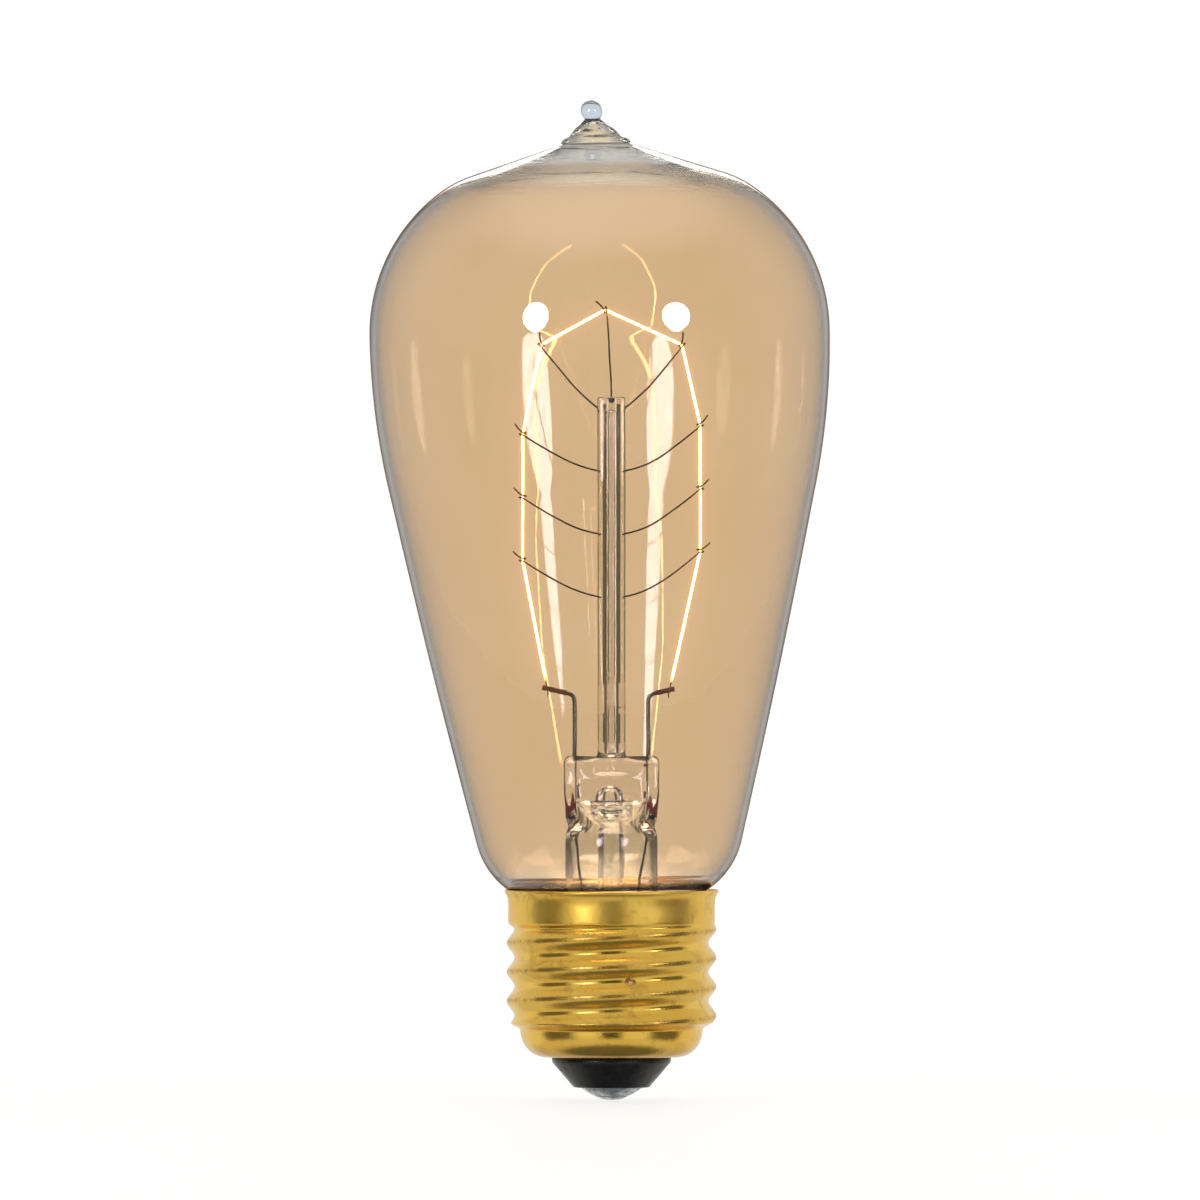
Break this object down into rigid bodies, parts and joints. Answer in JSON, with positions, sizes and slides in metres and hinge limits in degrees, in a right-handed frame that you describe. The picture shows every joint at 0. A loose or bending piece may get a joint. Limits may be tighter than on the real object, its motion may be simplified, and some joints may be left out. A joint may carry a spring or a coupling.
{
  "type": "incandescent bulb",
  "caption": "Teardrop amber-glass filament lamp with a drawn glass tip, a looped filament on wire supports and a medium brass screw cap.",
  "frame": {"origin": "lowest point of the centre contact, on the cap's axis", "axes": "+Z along the cap's axis towards the glass tip; the filament loop lies in the XZ plane; -Y is the side with the blown exhaust hole"},
  "size_m": [0.0576, 0.0576, 0.125],
  "materials": {
    "amber_glass": "clear amber, polished",
    "clear_glass": "clear, fire polished",
    "nickel_wire": "drawn nickel wire",
    "copper_clad_wire": "oxidised copper cladding, red under glass",
    "copper_wire": "dull copper wire",
    "clamp_metal": "heat-tinted crimped metal",
    "tungsten": "lit fine winding",
    "cement": "matt brown",
    "brass": "bright rolled sheet, lacquered",
    "black_glass": "glossy black glass",
    "tinned_contact": "tinned",
    "solder": "solder, slightly rough",
    "weld": "dull spot weld",
    "support_wire": "dark drawn molybdenum wire"
  },
  "bodies": {
    "root": {"envelope": "amber_glass", "tip_seal": "clear_glass", "stem_flare": "clear_glass", "exhaust_tube": "clear_glass", "arbor": "clear_glass", "lead_left": "nickel_wire", "lead_right": "nickel_wire", "seal_wire_left": "copper_clad_wire", "seal_wire_right": "copper_clad_wire", "contact_lead": "copper_wire", "shell_lead": "copper_wire", "clamp_left": "clamp_metal", "clamp_right": "clamp_metal", "filament": "tungsten", "basing_cement": "cement", "screw_shell": "brass", "base_insulator": "black_glass", "contact_plate": "tinned_contact", "contact_solder": "solder", "shell_weld": "weld", "support_left_1": "support_wire", "support_left_2": "support_wire", "support_left_3": "support_wire", "support_left_4": "support_wire", "support_top": "support_wire", "support_right_4": "support_wire", "support_right_3": "support_wire", "support_right_2": "support_wire", "support_right_1": "support_wire"}
  },
  "joints": []
}
